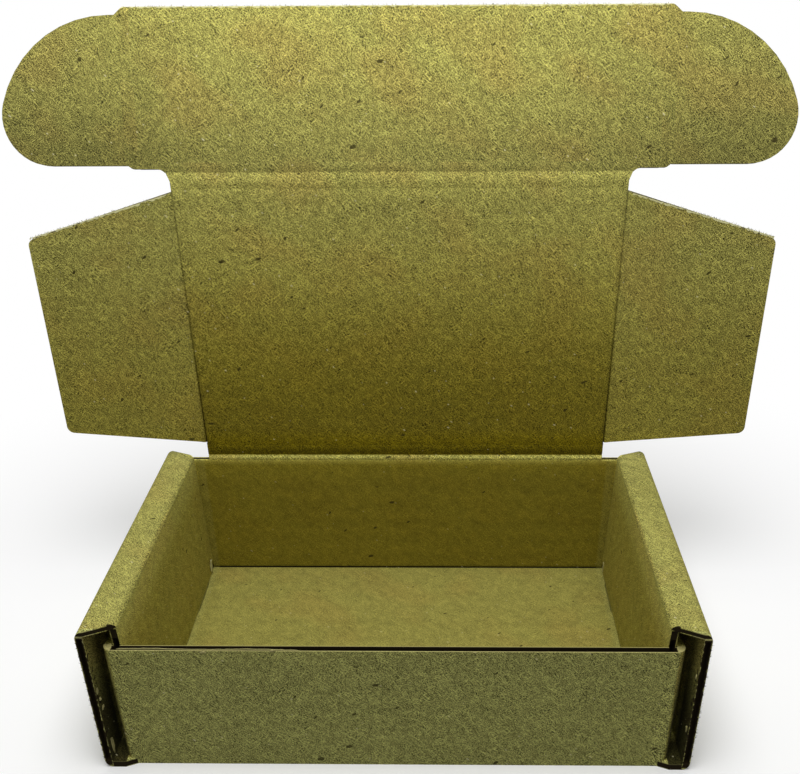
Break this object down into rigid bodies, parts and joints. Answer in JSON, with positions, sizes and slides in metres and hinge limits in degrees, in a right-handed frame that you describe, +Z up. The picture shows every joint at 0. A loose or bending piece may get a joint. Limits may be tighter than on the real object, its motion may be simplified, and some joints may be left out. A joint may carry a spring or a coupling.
{
  "type": "hinged lid box",
  "caption": "Small corrugated mailer box, folded from one blank, with a hinged lid, dust flaps and an eared tuck flap.",
  "frame": {"origin": "centre of the tray's underside, on the surface it stands on", "axes": "+Z up; +Y from the front wall to the lid's hinge; X along the front wall, which is also the way the flutes run on the lid"},
  "size_m": [0.1488, 0.0707, 0.1211],
  "materials": {
    "kraft_tray": "matte olive kraft liner, washboarded by the flutes",
    "kraft_lid": "matte olive kraft liner with fine fibres and dark specks"
  },
  "bodies": {
    "tray": {"tray": "kraft_tray"},
    "lid": {"lid": "kraft_lid"},
    "dust_flap_left": {"dust_flap_left": "kraft_lid"},
    "dust_flap_right": {"dust_flap_right": "kraft_lid"},
    "tuck_flap": {"tuck_flap": "kraft_lid"},
    "ear_left": {"ear_left": "kraft_lid"},
    "ear_right": {"ear_right": "kraft_lid"}
  },
  "joints": [
    {"name": "lid_hinge", "type": "hinge", "parent": "tray", "child": "lid", "pos_m": [0, 0.02935, 0.0321], "axis": [1, 0, 0], "range_deg": [-90, 90]},
    {"name": "dust_flap_left_fold", "type": "hinge", "parent": "lid", "child": "dust_flap_left", "pos_m": [-0.0437, 0.02935, 0.0621], "axis": [0, 0, 1], "range_deg": [-90, 90]},
    {"name": "dust_flap_right_fold", "type": "hinge", "parent": "lid", "child": "dust_flap_right", "pos_m": [0.0437, 0.02935, 0.0621], "axis": [0, 0, -1], "range_deg": [-90, 90]},
    {"name": "tuck_flap_fold", "type": "hinge", "parent": "lid", "child": "tuck_flap", "pos_m": [0, 0.02935, 0.0933], "axis": [1, 0, 0], "range_deg": [-73, 107]},
    {"name": "ear_left_fold", "type": "hinge", "parent": "tuck_flap", "child": "ear_left", "pos_m": [-0.05045, 0.02935, 0.0933], "axis": [0, 0.2924, 0.9563], "range_deg": [-90, 90]},
    {"name": "ear_right_fold", "type": "hinge", "parent": "tuck_flap", "child": "ear_right", "pos_m": [0.05045, 0.02935, 0.0933], "axis": [0, -0.2924, -0.9563], "range_deg": [-90, 90]}
  ]
}
